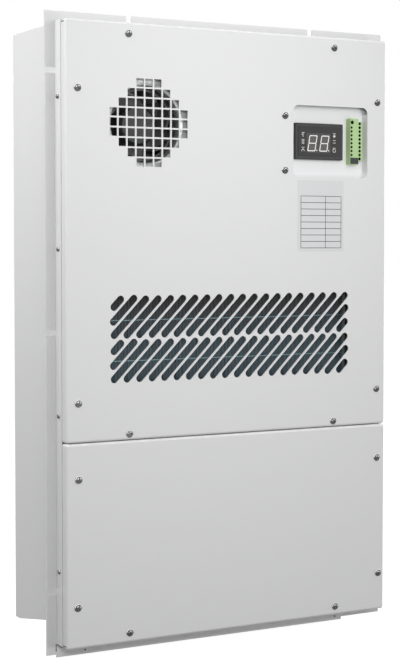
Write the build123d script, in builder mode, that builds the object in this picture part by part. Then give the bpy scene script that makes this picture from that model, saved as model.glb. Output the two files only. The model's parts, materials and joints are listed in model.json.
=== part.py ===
"""Cabinet air conditioner for mounting in a door or wall cut-out, in millimetres.

The frame: X to the right, Y to the back, Z up. The back face of the mounting
flange is the plane Y = 0, and the lower ends of the side flanges are at Z = 0.
"""

from build123d import *
import math
import os

# Sheet metal
SHEET = 1.5

# Mounting flange and front housing
FLANGE_WIDTH = 486.0
FLANGE_HEIGHT = 774.0
HOUSING_WIDTH = 460.0
HOUSING_HEIGHT = 750.0
LIP_STEP = 3.0
FRONT_LAND = 20.0
RAIL_VALLEY_HALF = 4.0
RAIL_LAND = 18.0
MITRE_REACH = 60.0
BOTTOM_DROP = 3.5
BOTTOM_DROP_SHORT = 47.0
NOTCH_WIDTH = 7.0
SIDE_NOTCH_SPACING = 313.5
SIDE_NOTCH_RAISE = 3.0
TOP_NOTCH_SPACING = 262.0

# Front covers
COVER_WIDTH = 460.0
COVER_HEIGHT = 750.0
COVER_FRONT = 32.5
COVER_RETURN = 12.0
COVER_BEND = 3.0
COVER_GAP = 1.2
SPLIT_BELOW_MIDDLE = 128.2

# Rear shell
REAR_WIDTH = 446.0
REAR_DEPTH = 145.0
REAR_BEND = 2.0
REAR_TOP = 761.5
REAR_BOTTOM = 16.0
REAR_BOTTOM_AT_FLANGE = 40.0

# Square-hole grille, measured from the middle of the cover
GRILLE_X = -119.2
GRILLE_Z = 255.7
GRILLE_PITCH = 12.0
GRILLE_HOLE = 10.0
GRILLE_HALF_ROWS = 4
GRILLE_DIAGONAL = 5

# Slot field: two rows of slots at 45 degrees, with short slots in the corners
SLOT_WIDTH = 9.5
SLOT_PITCH = 17.1
SLOT_COUNT = 18
SLOT_RUN = 42.5
SLOT_ROWS_Z = (21.0, -32.2)
CORNER_SLOT_RUNS = (27.5, 8.8)

# Controller window
WINDOW_LEFT = 87.0
WINDOW_RIGHT = 201.2
WINDOW_BOTTOM = 194.6
WINDOW_TOP = 286.2
WINDOW_CORNER = 8.0
BEZEL_X = 130.1
BEZEL_Z = 240.9
BEZEL_WIDTH = 73.7
BEZEL_HEIGHT = 46.4
BEZEL_RISE = 7.0
BEZEL_CORNER = 1.5
BEZEL_CHAMFER = 1.2
GLASS_MARGIN = 4.0
GLASS_RISE = 0.8

# Pluggable terminal strip
TERMINAL_PITCH = 5.08
TERMINAL_POLES = 10
TERMINAL_LEFT = 175.9
TERMINAL_WIDTH = 12.5
TERMINAL_HEIGHT = 59.4
TERMINAL_Z = 242.2
TERMINAL_RISE = 10.2
CONTACT_HOLE_RADIUS = 1.5
CONTACT_HOLE_INSET = 1.9
CONTACT_HOLES = 8
CONTACT_Z = 242.7
FLANGE_HOLE_RADIUS = 2.2
FLANGE_HOLE_INSET = 2.9
FLANGE_HOLE_DROP = 4.8
PLUG_WIDTH = 8.5
PLUG_RISE = 7.0
PLUG_Z = 243.1
WIRE_HOLE_RADIUS = 1.9
TERMINAL_HOLE_DEPTH = 4.0

# Fans, with depths measured inwards from the face of the cover
FAN_X = -116.0
FAN_Z = 255.0
DECK_DEPTH = 12.5
DECK_SPLIT_X = 60.0
DECK_HOLE_RADIUS = 50.0
RING_FLANGE_RADIUS = 60.0
RING_THROAT_RADIUS = 46.0
RING_BELL_STEP = 1.5
RING_BELL_LENGTH = 5.0
RING_WALL = 1.2
RING_END_DEPTH = 24.5
FAN_CLEARANCE = 5.0
WHEEL_RADIUS = 66.0
WHEEL_EYE_RADIUS = 44.0
WHEEL_LENGTH = 42.0
EYE_LIP = 3.0
SHROUD_DISH = 8.0
BLADE_COUNT = 7
BLADE_INNER_RADIUS = 38.0
BLADE_THICKNESS = 2.0
BLADE_SWEEP = 40.0
BLADE_MIDDLE_SWEEP = 26.0
HUB_RADIUS = 25.0
HUB_LENGTH = 34.0
HUB_CHAMFER = 3.0
SHAFT_RADIUS = 4.0
SHAFT_END_GAP = 1.0
RUNNING_CLEARANCE = 0.05
MOTOR_RADIUS = 36.0

# Heat exchanger coils
COIL_HALF_WIDTH = 176.0
COIL_TOP = 70.0
COIL_BOTTOM = -80.0
COIL_DEPTH = 18.0
COIL_THICKNESS = 30.0
END_PLATE_PROUD = 2.0
FIN_PITCH = 6.0
FIN_GAP = 3.0
FIN_GROOVE_DEPTH = 4.0
TUBE_RADIUS = 4.75
TUBE_SIDES = 8
TUBE_PITCH = 25.0
TUBE_BENDS = 3

# Drain spout under the rear shell
SPOUT_X = 150.0
SPOUT_Y = 105.0
SPOUT_RADIUS = 8.0
SPOUT_NECK_RADIUS = 7.2
SPOUT_BORE = 6.0
SPOUT_END_Z = 2.0
SPOUT_LENGTH = 15.0

# Derived places
MIDDLE_Z = FLANGE_HEIGHT / 2
HALF_FLANGE_X = FLANGE_WIDTH / 2
HALF_FLANGE_Z = FLANGE_HEIGHT / 2
HALF_WALL_X = HOUSING_WIDTH / 2
HALF_WALL_Z = HOUSING_HEIGHT / 2
LIP_INSIDE_X = HALF_WALL_X - LIP_STEP - SHEET
LIP_INSIDE_Z = HALF_WALL_Z - LIP_STEP - SHEET
LAND_X = HALF_WALL_X - LIP_STEP - FRONT_LAND
LAND_Z = HALF_WALL_Z - LIP_STEP - FRONT_LAND
SHOULDER_Y = -(COVER_FRONT - COVER_RETURN - COVER_GAP)
LIP_FRONT_Y = -(COVER_FRONT - SHEET)
SPLIT_Z = MIDDLE_Z - SPLIT_BELOW_MIDDLE
HALF_REAR = REAR_WIDTH / 2
SHELL_INSIDE = HALF_REAR - SHEET
SHELL_TOP = REAR_TOP - SHEET - MIDDLE_Z
TRAY_START = REAR_DEPTH - COVER_RETURN
REAR_SLOPE = (REAR_BOTTOM_AT_FLANGE - REAR_BOTTOM) / TRAY_START
PARTITION_Y = (REAR_DEPTH - COVER_FRONT) / 2
PARTITION_DEPTH = PARTITION_Y - SHEET / 2 + COVER_FRONT
WHEEL_DEPTH = RING_END_DEPTH + FAN_CLEARANCE
MOTOR_DEPTH = WHEEL_DEPTH + WHEEL_LENGTH + FAN_CLEARANCE

# The two faces: local X to the right of a person looking at the face, local Y up
FRONT = Plane(origin=(0, -COVER_FRONT, MIDDLE_Z), x_dir=(1, 0, 0), z_dir=(0, -1, 0))
REAR = Plane(origin=(0, REAR_DEPTH, MIDDLE_Z), x_dir=(-1, 0, 0), z_dir=(0, 1, 0))

os.makedirs("parts", exist_ok=True)


def save(piece, name):
    """Labels a finished piece and writes it."""
    piece.part.label = name
    export_step(piece.part, f"parts/{name}.step")


def upright_plane(y):
    """A plane parallel to the front at y, about the middle, its normal to the front."""
    return Plane(origin=(0, y, MIDDLE_Z), x_dir=(1, 0, 0), z_dir=(0, -1, 0))


def ring_extrusion(half_x_out, half_z_out, half_x_in, half_z_in, y_back, y_front):
    """A rectangular ring around the housing's middle, added to the open part."""
    with BuildSketch(upright_plane(y_back)) as ring:
        Rectangle(2 * half_x_out, 2 * half_z_out)
        Rectangle(2 * half_x_in, 2 * half_z_in, mode=Mode.SUBTRACT)
    extrude(ring.sketch, amount=y_back - y_front)


def notch(x, z, run):
    """An open-ended notch as wide as the flange strip, with a round inner end."""
    with BuildSketch(upright_plane(SHEET)) as slot:
        with Locations((x, z)):
            SlotCenterPoint((0, 0), run, NOTCH_WIDTH)
    extrude(slot.sketch, amount=3 * SHEET, mode=Mode.SUBTRACT)


# Folded front frame: flange, side wall, set-back lip and the land under the covers
with BuildPart() as frame_ring:
    ring_extrusion(HALF_FLANGE_X, HALF_FLANGE_Z, SHELL_INSIDE, SHELL_TOP, 0, -SHEET)
    ring_extrusion(
        HALF_WALL_X, HALF_WALL_Z, HALF_WALL_X - SHEET, HALF_WALL_Z - SHEET, 0, SHOULDER_Y
    )
    ring_extrusion(
        HALF_WALL_X, HALF_WALL_Z, LIP_INSIDE_X, LIP_INSIDE_Z, SHOULDER_Y + SHEET, SHOULDER_Y
    )
    ring_extrusion(
        LIP_INSIDE_X + SHEET, LIP_INSIDE_Z + SHEET, LIP_INSIDE_X, LIP_INSIDE_Z,
        SHOULDER_Y + SHEET, LIP_FRONT_Y,
    )
    ring_extrusion(
        LIP_INSIDE_X + SHEET, LIP_INSIDE_Z + SHEET, LAND_X, LAND_Z,
        LIP_FRONT_Y + SHEET, LIP_FRONT_Y,
    )


def clear_cover_joint():
    """Cuts the lip and the land where the returns of both covers pass."""
    with BuildSketch(upright_plane(SHOULDER_Y)) as gap:
        with Locations((0, -SPLIT_BELOW_MIDDLE)):
            Rectangle(FLANGE_WIDTH, 2 * RAIL_VALLEY_HALF)
    extrude(gap.sketch, amount=COVER_FRONT, mode=Mode.SUBTRACT)


def mitred(sign_x, sign_z):
    """The outline of one side of the frame, cut at the corners."""
    inner = (HALF_WALL_X - MITRE_REACH, HALF_WALL_Z - MITRE_REACH)
    if sign_x:
        return [
            (sign_x * HALF_FLANGE_X, HALF_FLANGE_Z), (sign_x * HALF_WALL_X, HALF_WALL_Z),
            (sign_x * inner[0], inner[1]), (sign_x * inner[0], -inner[1]),
            (sign_x * HALF_WALL_X, -HALF_WALL_Z), (sign_x * HALF_FLANGE_X, -HALF_FLANGE_Z),
        ]
    return [
        (HALF_FLANGE_X, sign_z * HALF_FLANGE_Z), (HALF_WALL_X, sign_z * HALF_WALL_Z),
        (inner[0], sign_z * inner[1]), (-inner[0], sign_z * inner[1]),
        (-HALF_WALL_X, sign_z * HALF_WALL_Z), (-HALF_FLANGE_X, sign_z * HALF_FLANGE_Z),
    ]


def frame_side(sign_x, sign_z, notches):
    """One of the frame's four folded sides with its flange notches."""
    with BuildPart() as side:
        add(frame_ring.part)
        with BuildSketch(upright_plane(SHEET)):
            with BuildLine():
                Polyline(*mitred(sign_x, sign_z), close=True)
            make_face()
        extrude(amount=COVER_FRONT + 2 * SHEET, mode=Mode.INTERSECT)
        if sign_x:
            clear_cover_joint()
        for along in notches:
            if sign_x:
                end_x = sign_x * (HALF_WALL_X + NOTCH_WIDTH / 2)
                notch(end_x, along, (sign_x * (HALF_FLANGE_X - HALF_WALL_X), 0))
            else:
                end_z = sign_z * (HALF_WALL_Z + NOTCH_WIDTH / 2)
                notch(along, end_z, (0, sign_z * (HALF_FLANGE_X - HALF_WALL_X)))
    return side


side_notches = [SIDE_NOTCH_RAISE + step * SIDE_NOTCH_SPACING for step in (-1, 0, 1)]
top_notches = [-TOP_NOTCH_SPACING / 2, TOP_NOTCH_SPACING / 2]
save(frame_side(-1, 0, side_notches), "frame_left")
save(frame_side(1, 0, side_notches), "frame_right")
save(frame_side(0, 1, top_notches), "frame_top")

# The bottom side's flange hangs a little lower over most of its length
drop_left = -HALF_WALL_X
drop_right = HALF_WALL_X - BOTTOM_DROP_SHORT
bottom_side = frame_side(0, -1, [])
with BuildPart() as frame_bottom:
    add(bottom_side.part)
    with BuildSketch(upright_plane(0)):
        with Locations(((drop_left + drop_right) / 2, -HALF_FLANGE_Z)):
            Rectangle(drop_right - drop_left, 2 * BOTTOM_DROP)
    extrude(amount=SHEET)
save(frame_bottom, "frame_bottom")

# Rail behind the joint of the two covers: two lands and a valley for their returns
with BuildPart() as cross_rail:
    with BuildSketch(Plane(origin=(-LAND_X, 0, SPLIT_Z), x_dir=(0, 1, 0), z_dir=(1, 0, 0))):
        with BuildLine():
            Polyline(
                (LIP_FRONT_Y, RAIL_VALLEY_HALF + RAIL_LAND),
                (LIP_FRONT_Y, RAIL_VALLEY_HALF),
                (SHOULDER_Y, RAIL_VALLEY_HALF),
                (SHOULDER_Y, -RAIL_VALLEY_HALF),
                (LIP_FRONT_Y, -RAIL_VALLEY_HALF),
                (LIP_FRONT_Y, -RAIL_VALLEY_HALF - RAIL_LAND),
                (LIP_FRONT_Y + SHEET, -RAIL_VALLEY_HALF - RAIL_LAND),
                (LIP_FRONT_Y + SHEET, -RAIL_VALLEY_HALF - SHEET),
                (SHOULDER_Y + SHEET, -RAIL_VALLEY_HALF - SHEET),
                (SHOULDER_Y + SHEET, RAIL_VALLEY_HALF + SHEET),
                (LIP_FRONT_Y + SHEET, RAIL_VALLEY_HALF + SHEET),
                (LIP_FRONT_Y + SHEET, RAIL_VALLEY_HALF + RAIL_LAND),
                close=True,
            )
        make_face()
    extrude(amount=2 * LAND_X)
save(cross_rail, "cross_rail")


def tray(face, width, low, high, bend):
    """A folded cover: front sheet with bent edges and returns on all sides."""
    with BuildSketch(face) as outline:
        with Locations((0, (low + high) / 2)):
            RectangleRounded(width, high - low, bend)
    extrude(outline.sketch, amount=-COVER_RETURN)
    outer_faces = faces().sort_by(Axis(face.origin, face.z_dir))
    fillet(outer_faces[-1].edges(), bend)
    open_face = faces().sort_by(Axis(face.origin, face.z_dir))[0]
    offset(amount=-SHEET, openings=open_face)


def grille_places():
    """Centres of the square holes: a square grid cut to an octagon."""
    places = []
    for row in range(-GRILLE_HALF_ROWS, GRILLE_HALF_ROWS + 1):
        for column in range(-GRILLE_HALF_ROWS, GRILLE_HALF_ROWS + 1):
            if abs(row) + abs(column) <= GRILLE_DIAGONAL:
                places.append((GRILLE_X + column * GRILLE_PITCH, GRILLE_Z + row * GRILLE_PITCH))
    return places


def slot_places():
    """Centre and run of every slot, with the short ones that fill the corners."""
    places = []
    for row_z in SLOT_ROWS_Z:
        first = -SLOT_PITCH * (SLOT_COUNT - 1) / 2
        for number in range(SLOT_COUNT):
            places.append((first + number * SLOT_PITCH, row_z, SLOT_RUN))
        for step, run in enumerate(CORNER_SLOT_RUNS, start=1):
            shift = step * SLOT_PITCH / 2
            places.append((first - shift, row_z + shift, run))
            places.append((-first + shift, row_z - shift, run))
    return places


def cut_air_openings(face):
    """Cuts the square-hole grille and the slanted slots through a sheet."""
    with BuildSketch(face) as openings:
        with Locations(*grille_places()):
            Rectangle(GRILLE_HOLE, GRILLE_HOLE)
        for x, z, run in slot_places():
            with Locations((x, z)):
                SlotCenterToCenter(run * math.sqrt(2), SLOT_WIDTH, rotation=45)
    extrude(openings.sketch, amount=-2 * SHEET, mode=Mode.SUBTRACT)


cover_low = -COVER_HEIGHT / 2
cover_high = COVER_HEIGHT / 2
split_low = -SPLIT_BELOW_MIDDLE - COVER_GAP / 2
split_high = -SPLIT_BELOW_MIDDLE + COVER_GAP / 2

with BuildPart() as upper_cover:
    tray(FRONT, COVER_WIDTH, split_high, cover_high, COVER_BEND)
    cut_air_openings(FRONT)
    with BuildSketch(FRONT):
        with Locations(
            ((WINDOW_LEFT + WINDOW_RIGHT) / 2, (WINDOW_BOTTOM + WINDOW_TOP) / 2)
        ):
            RectangleRounded(
                WINDOW_RIGHT - WINDOW_LEFT, WINDOW_TOP - WINDOW_BOTTOM, WINDOW_CORNER
            )
    extrude(amount=-2 * SHEET, mode=Mode.SUBTRACT)
save(upper_cover, "upper_cover")

with BuildPart() as lower_cover:
    tray(FRONT, COVER_WIDTH, cover_low, split_low, COVER_BEND)
save(lower_cover, "lower_cover")

with BuildPart() as back_cover:
    tray(REAR, REAR_WIDTH, REAR_BOTTOM - MIDDLE_Z, REAR_TOP - MIDDLE_Z, REAR_BEND)
    cut_air_openings(REAR)
save(back_cover, "back_cover")


def rear_side(name, x):
    """A side sheet of the rear shell, with the sloping lower edge."""
    with BuildPart() as side:
        with BuildSketch(Plane.YZ.offset(x)):
            with BuildLine():
                Polyline(
                    (0, REAR_BOTTOM_AT_FLANGE), (TRAY_START, REAR_BOTTOM),
                    (TRAY_START, REAR_TOP - SHEET), (0, REAR_TOP - SHEET), close=True,
                )
            make_face()
        extrude(amount=SHEET)
    save(side, name)


rear_side("rear_left", -HALF_REAR)
rear_side("rear_right", SHELL_INSIDE)

with BuildPart() as rear_top:
    with BuildSketch(Plane.XY.offset(REAR_TOP - SHEET)):
        with Locations((0, TRAY_START / 2)):
            Rectangle(REAR_WIDTH, TRAY_START)
    extrude(amount=SHEET)
save(rear_top, "rear_top")

# Sloping bottom sheet, folded down at the front to close the flange's opening
fold_low = MIDDLE_Z - SHELL_TOP
with BuildPart() as rear_bottom:
    with BuildSketch(Plane.YZ.offset(-SHELL_INSIDE)):
        with BuildLine():
            Polyline(
                (0, fold_low),
                (0, REAR_BOTTOM_AT_FLANGE),
                (TRAY_START, REAR_BOTTOM),
                (TRAY_START, REAR_BOTTOM + SHEET),
                (0, REAR_BOTTOM_AT_FLANGE + SHEET),
                (-SHEET, REAR_BOTTOM_AT_FLANGE + SHEET),
                (-SHEET, fold_low),
                close=True,
            )
        make_face()
    extrude(amount=2 * SHELL_INSIDE)
save(rear_bottom, "rear_bottom")

# Drain spout with a slimmer neck, its top cut to the slope of the rear shell's bottom
with BuildPart() as drain_spout:
    with BuildSketch(Plane.XY.offset(SPOUT_END_Z)):
        with Locations((SPOUT_X, SPOUT_Y)):
            Circle(SPOUT_NECK_RADIUS)
    extrude(amount=REAR_BOTTOM_AT_FLANGE)
    with BuildSketch(Plane.YZ.offset(-HALF_REAR)):
        with BuildLine():
            Polyline(
                (0, REAR_BOTTOM_AT_FLANGE), (TRAY_START, REAR_BOTTOM),
                (TRAY_START, 0), (0, 0), close=True,
            )
        make_face()
    extrude(amount=REAR_WIDTH, mode=Mode.INTERSECT)
    with BuildSketch(Plane.XY.offset(SPOUT_END_Z)):
        with Locations((SPOUT_X, SPOUT_Y)):
            Circle(SPOUT_RADIUS)
    extrude(amount=SPOUT_LENGTH)
    with BuildSketch(Plane.XY.offset(SPOUT_END_Z)):
        with Locations((SPOUT_X, SPOUT_Y)):
            Circle(SPOUT_BORE)
    extrude(amount=REAR_BOTTOM_AT_FLANGE, mode=Mode.SUBTRACT)
save(drain_spout, "drain_spout")

# Upright sheet between the front and rear air paths, which carries both motors
partition_low = REAR_BOTTOM_AT_FLANGE + SHEET - REAR_SLOPE * (PARTITION_Y - SHEET / 2)
partition_high = REAR_TOP - SHEET
with BuildPart() as partition:
    with BuildSketch(upright_plane(PARTITION_Y + SHEET / 2)):
        with Locations((0, (partition_low + partition_high) / 2 - MIDDLE_Z)):
            Rectangle(2 * SHELL_INSIDE, partition_high - partition_low)
    extrude(amount=SHEET)
save(partition, "partition")


def shelf(name, face, z_local):
    """A level sheet from the fan deck's plane back to the partition."""
    with BuildPart() as plate:
        with BuildSketch(face.offset(-PARTITION_DEPTH)):
            with Locations((0, z_local + SHEET / 2)):
                Rectangle(2 * SHELL_INSIDE, SHEET)
        extrude(amount=PARTITION_DEPTH - DECK_DEPTH)
    save(plate, name)


def deck(name, face, left, right, high, with_inlet):
    """An upright sheet behind the cover, with the fan's round inlet or plain."""
    low = COIL_TOP + SHEET
    with BuildPart() as plate:
        with BuildSketch(face.offset(-DECK_DEPTH)):
            with Locations(((left + right) / 2, (low + high) / 2)):
                Rectangle(right - left, high - low)
            if with_inlet:
                with Locations((FAN_X, FAN_Z)):
                    Circle(DECK_HOLE_RADIUS, mode=Mode.SUBTRACT)
        extrude(amount=-SHEET)
    save(plate, name)


shelf("front_upper_shelf", FRONT, COIL_TOP)
shelf("front_lower_shelf", FRONT, COIL_BOTTOM - SHEET)
shelf("rear_upper_shelf", REAR, COIL_TOP)
shelf("rear_lower_shelf", REAR, COIL_BOTTOM - SHEET)
deck("fan_deck", FRONT, -LIP_INSIDE_X, DECK_SPLIT_X, LIP_INSIDE_Z, True)
deck("controller_plate", FRONT, DECK_SPLIT_X, LIP_INSIDE_X, LIP_INSIDE_Z, False)
deck("rear_fan_deck", REAR, -SHELL_INSIDE, SHELL_INSIDE, SHELL_TOP, True)


def fan_axis(face):
    """The fan's axis, which points out of the face."""
    return Axis(face.from_local_coords((FAN_X, FAN_Z, 0)), face.z_dir)


def profile_plane(face):
    """A plane through the fan's axis: local X is the radius, local Y the depth."""
    start = face.from_local_coords((FAN_X, FAN_Z, 0))
    return Plane(origin=start, x_dir=face.x_dir, z_dir=face.y_dir)


def inlet_ring(name, face):
    """A bell-mouthed inlet ring, flanged against the back of the deck."""
    back = DECK_DEPTH + SHEET
    bell_end = back + RING_BELL_LENGTH
    throat = RING_THROAT_RADIUS
    outer = throat + RING_WALL
    with BuildPart() as ring:
        with BuildSketch(profile_plane(face)):
            with BuildLine():
                Polyline(
                    (RING_FLANGE_RADIUS, back),
                    (DECK_HOLE_RADIUS, back),
                    (throat + RING_BELL_STEP, back + RING_BELL_STEP),
                    (throat, bell_end),
                    (throat, RING_END_DEPTH),
                    (outer, RING_END_DEPTH),
                    (outer, bell_end),
                    (outer + RING_BELL_STEP, back + RING_BELL_STEP + RING_WALL),
                    (DECK_HOLE_RADIUS + RING_WALL, back + RING_WALL),
                    (RING_FLANGE_RADIUS, back + RING_WALL),
                    close=True,
                )
            make_face()
        revolve(axis=fan_axis(face))
    save(ring, name)


def blade_camber():
    """The arc that one blade follows from the eye to the rim, swept backwards."""
    tip_radius = WHEEL_RADIUS - BLADE_THICKNESS
    middle_radius = (BLADE_INNER_RADIUS + tip_radius) / 2
    middle_angle = math.radians(BLADE_MIDDLE_SWEEP)
    tip_angle = math.radians(BLADE_SWEEP)
    return ThreePointArc(
        (BLADE_INNER_RADIUS, 0),
        (middle_radius * math.cos(middle_angle), middle_radius * math.sin(middle_angle)),
        (tip_radius * math.cos(tip_angle), tip_radius * math.sin(tip_angle)),
    )


def wheel(name, face, bore_radius):
    """Backward-curved centrifugal wheel: blades, back plate and a dished front shroud."""
    camber = blade_camber()
    back_depth = WHEEL_DEPTH + WHEEL_LENGTH
    half_sheet = BLADE_THICKNESS / 2
    lip_radius = WHEEL_EYE_RADIUS + EYE_LIP
    lip_depth = WHEEL_DEPTH + EYE_LIP
    rim_depth = WHEEL_DEPTH + SHROUD_DISH
    with BuildPart() as impeller:
        # Blades, cut to the dish of the shroud
        with BuildSketch(face.offset(-back_depth + half_sheet)):
            with Locations((FAN_X, FAN_Z)):
                with PolarLocations(0, BLADE_COUNT):
                    SlotArc(camber, BLADE_THICKNESS)
        extrude(amount=WHEEL_LENGTH - EYE_LIP)
        with BuildSketch(profile_plane(face)):
            with BuildLine():
                Polyline(
                    (0, lip_depth + half_sheet),
                    (lip_radius - half_sheet, lip_depth + half_sheet),
                    (WHEEL_RADIUS, rim_depth + half_sheet),
                    (WHEEL_RADIUS, back_depth),
                    (0, back_depth),
                    close=True,
                )
            make_face()
        revolve(axis=fan_axis(face), mode=Mode.INTERSECT)
        # Back plate
        with BuildSketch(face.offset(-back_depth)):
            with Locations((FAN_X, FAN_Z)):
                Circle(WHEEL_RADIUS)
                Circle(bore_radius, mode=Mode.SUBTRACT)
        extrude(amount=BLADE_THICKNESS)
        # Front shroud with the lip of the eye
        with BuildSketch(profile_plane(face)):
            with BuildLine():
                Polyline(
                    (WHEEL_RADIUS, rim_depth),
                    (lip_radius, lip_depth),
                    (WHEEL_EYE_RADIUS, WHEEL_DEPTH),
                    (WHEEL_EYE_RADIUS - BLADE_THICKNESS, WHEEL_DEPTH),
                    (lip_radius - BLADE_THICKNESS, lip_depth + BLADE_THICKNESS),
                    (WHEEL_RADIUS, rim_depth + BLADE_THICKNESS),
                    close=True,
                )
            make_face()
        revolve(axis=fan_axis(face))
    save(impeller, name)


def hub(name, face, bore_radius):
    """The round rotor cap in the wheel's eye."""
    foot_depth = WHEEL_DEPTH + WHEEL_LENGTH - BLADE_THICKNESS
    with BuildPart() as cap:
        with BuildSketch(face.offset(-foot_depth)):
            with Locations((FAN_X, FAN_Z)):
                Circle(HUB_RADIUS)
        extrude(amount=HUB_LENGTH)
        crown = faces().sort_by(Axis(face.origin, face.z_dir))[-1]
        chamfer(crown.edges(), HUB_CHAMFER)
        with BuildSketch(face.offset(-foot_depth)):
            with Locations((FAN_X, FAN_Z)):
                Circle(bore_radius)
        extrude(amount=HUB_LENGTH / 2, mode=Mode.SUBTRACT)
    save(cap, name)


def motor(name, face):
    """The motor's fixed foot on the partition, with its shaft."""
    foot_length = PARTITION_DEPTH - MOTOR_DEPTH
    reach = FAN_CLEARANCE + BLADE_THICKNESS + HUB_LENGTH / 2 - SHAFT_END_GAP
    with BuildPart() as drive:
        with BuildSketch(face.offset(-PARTITION_DEPTH)):
            with Locations((FAN_X, FAN_Z)):
                Circle(MOTOR_RADIUS)
        extrude(amount=foot_length)
        with BuildSketch(face.offset(-MOTOR_DEPTH - foot_length / 2)):
            with Locations((FAN_X, FAN_Z)):
                Circle(SHAFT_RADIUS)
        extrude(amount=foot_length / 2 + reach)
    save(drive, name)


inlet_ring("inlet_ring", FRONT)
inlet_ring("rear_inlet_ring", REAR)
wheel("impeller_wheel", FRONT, SHAFT_RADIUS + RUNNING_CLEARANCE)
wheel("rear_impeller_wheel", REAR, SHAFT_RADIUS)
hub("impeller_hub", FRONT, SHAFT_RADIUS + RUNNING_CLEARANCE)
hub("rear_impeller_hub", REAR, SHAFT_RADIUS)
motor("fan_motor", FRONT)
motor("rear_fan_motor", REAR)


def coil(prefix, face):
    """A finned coil between its end plates, with return bends at both ends."""
    height = COIL_TOP - COIL_BOTTOM
    middle = (COIL_TOP + COIL_BOTTOM) / 2
    with BuildPart() as fins:
        with BuildSketch(face.offset(-COIL_DEPTH)):
            with Locations((0, middle)):
                Rectangle(2 * COIL_HALF_WIDTH, height)
        extrude(amount=-COIL_THICKNESS)
        with BuildSketch(face.offset(-COIL_DEPTH)):
            with Locations((0, middle)):
                with GridLocations(FIN_PITCH, 0, round(2 * COIL_HALF_WIDTH / FIN_PITCH) - 1, 1):
                    Rectangle(FIN_GAP, height)
        extrude(amount=-FIN_GROOVE_DEPTH, mode=Mode.SUBTRACT)
    save(fins, f"{prefix}coil_fins")
    for side_name, sign in (("left", -1), ("right", 1)):
        with BuildPart() as plate:
            with BuildSketch(face.offset(-COIL_DEPTH + END_PLATE_PROUD)):
                with Locations((sign * (COIL_HALF_WIDTH + SHEET / 2), middle)):
                    Rectangle(SHEET, height)
            extrude(amount=-COIL_THICKNESS - 2 * END_PLATE_PROUD)
        save(plate, f"{prefix}coil_end_{side_name}")
    with BuildPart() as bends:
        for sign in (-1, 1):
            start = sign * (COIL_HALF_WIDTH + SHEET)
            for number in range(TUBE_BENDS):
                centre_z = middle + (number - (TUBE_BENDS - 1) / 2) * 2 * TUBE_PITCH
                centre_depth = COIL_DEPTH + COIL_THICKNESS / 2
                pivot = face.from_local_coords((start, centre_z, -centre_depth))
                tube_plane = Plane(origin=pivot, x_dir=face.y_dir, z_dir=face.x_dir * sign)
                with BuildSketch(tube_plane):
                    with Locations((TUBE_PITCH / 2, 0)):
                        RegularPolygon(TUBE_RADIUS, TUBE_SIDES)
                revolve(axis=Axis(pivot, tube_plane.y_dir), revolution_arc=-180)
    save(bends, f"{prefix}coil_bends")


coil("", FRONT)
coil("rear_", REAR)

# Controller display and its glass, on the controller plate
with BuildPart() as display_bezel:
    with BuildSketch(FRONT.offset(-DECK_DEPTH)):
        with Locations((BEZEL_X, BEZEL_Z)):
            RectangleRounded(BEZEL_WIDTH, BEZEL_HEIGHT, BEZEL_CORNER)
    extrude(amount=BEZEL_RISE)
    bezel_front = faces().sort_by(Axis.Y)[0]
    chamfer(bezel_front.edges(), BEZEL_CHAMFER)
save(display_bezel, "display_bezel")

with BuildPart() as display_glass:
    with BuildSketch(FRONT.offset(-DECK_DEPTH + BEZEL_RISE)):
        with Locations((BEZEL_X, BEZEL_Z)):
            Rectangle(BEZEL_WIDTH - 2 * GLASS_MARGIN, BEZEL_HEIGHT - 2 * GLASS_MARGIN)
    extrude(amount=GLASS_RISE)
save(display_glass, "display_glass")

# Pluggable terminal strip: the raised header with its screw hole and contact holes
terminal_x = TERMINAL_LEFT + TERMINAL_WIDTH / 2
flange_hole_z = TERMINAL_Z + TERMINAL_HEIGHT / 2 - FLANGE_HOLE_DROP
with BuildPart() as terminal_header:
    with BuildSketch(FRONT.offset(-DECK_DEPTH)):
        with Locations((terminal_x, TERMINAL_Z)):
            Rectangle(TERMINAL_WIDTH, TERMINAL_HEIGHT)
    extrude(amount=TERMINAL_RISE)
    with BuildSketch(FRONT.offset(-DECK_DEPTH + TERMINAL_RISE)):
        with Locations((TERMINAL_LEFT + CONTACT_HOLE_INSET, CONTACT_Z)):
            with GridLocations(0, TERMINAL_PITCH, 1, CONTACT_HOLES):
                Circle(CONTACT_HOLE_RADIUS)
        with Locations((TERMINAL_LEFT + FLANGE_HOLE_INSET, flange_hole_z)):
            Circle(FLANGE_HOLE_RADIUS)
    extrude(amount=-TERMINAL_HOLE_DEPTH, mode=Mode.SUBTRACT)
save(terminal_header, "terminal_header")

# The plug beside it, with a wire hole for each pole
plug_x = TERMINAL_LEFT + TERMINAL_WIDTH + PLUG_WIDTH / 2
with BuildPart() as terminal_plug:
    with BuildSketch(FRONT.offset(-DECK_DEPTH)):
        with Locations((plug_x, PLUG_Z)):
            Rectangle(PLUG_WIDTH, TERMINAL_PITCH * TERMINAL_POLES)
    extrude(amount=PLUG_RISE)
    with BuildSketch(FRONT.offset(-DECK_DEPTH + PLUG_RISE)):
        with Locations((plug_x, PLUG_Z)):
            with GridLocations(0, TERMINAL_PITCH, 1, TERMINAL_POLES):
                Circle(WIRE_HOLE_RADIUS)
    extrude(amount=-TERMINAL_HOLE_DEPTH, mode=Mode.SUBTRACT)
save(terminal_plug, "terminal_plug")
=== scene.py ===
"""Looks of a flange-mounted cabinet air conditioner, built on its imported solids.

The frame is X to the right, Y to the back and Z up, in metres, with the flange's back
face on the plane Y = 0. The fields of the sub-assemblies are millimetres, and heights
among them count from the middle of the covers.
"""

import json
import logging
import math
from collections.abc import Callable, Sequence
from dataclasses import dataclass, field, replace
from enum import Enum

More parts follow.
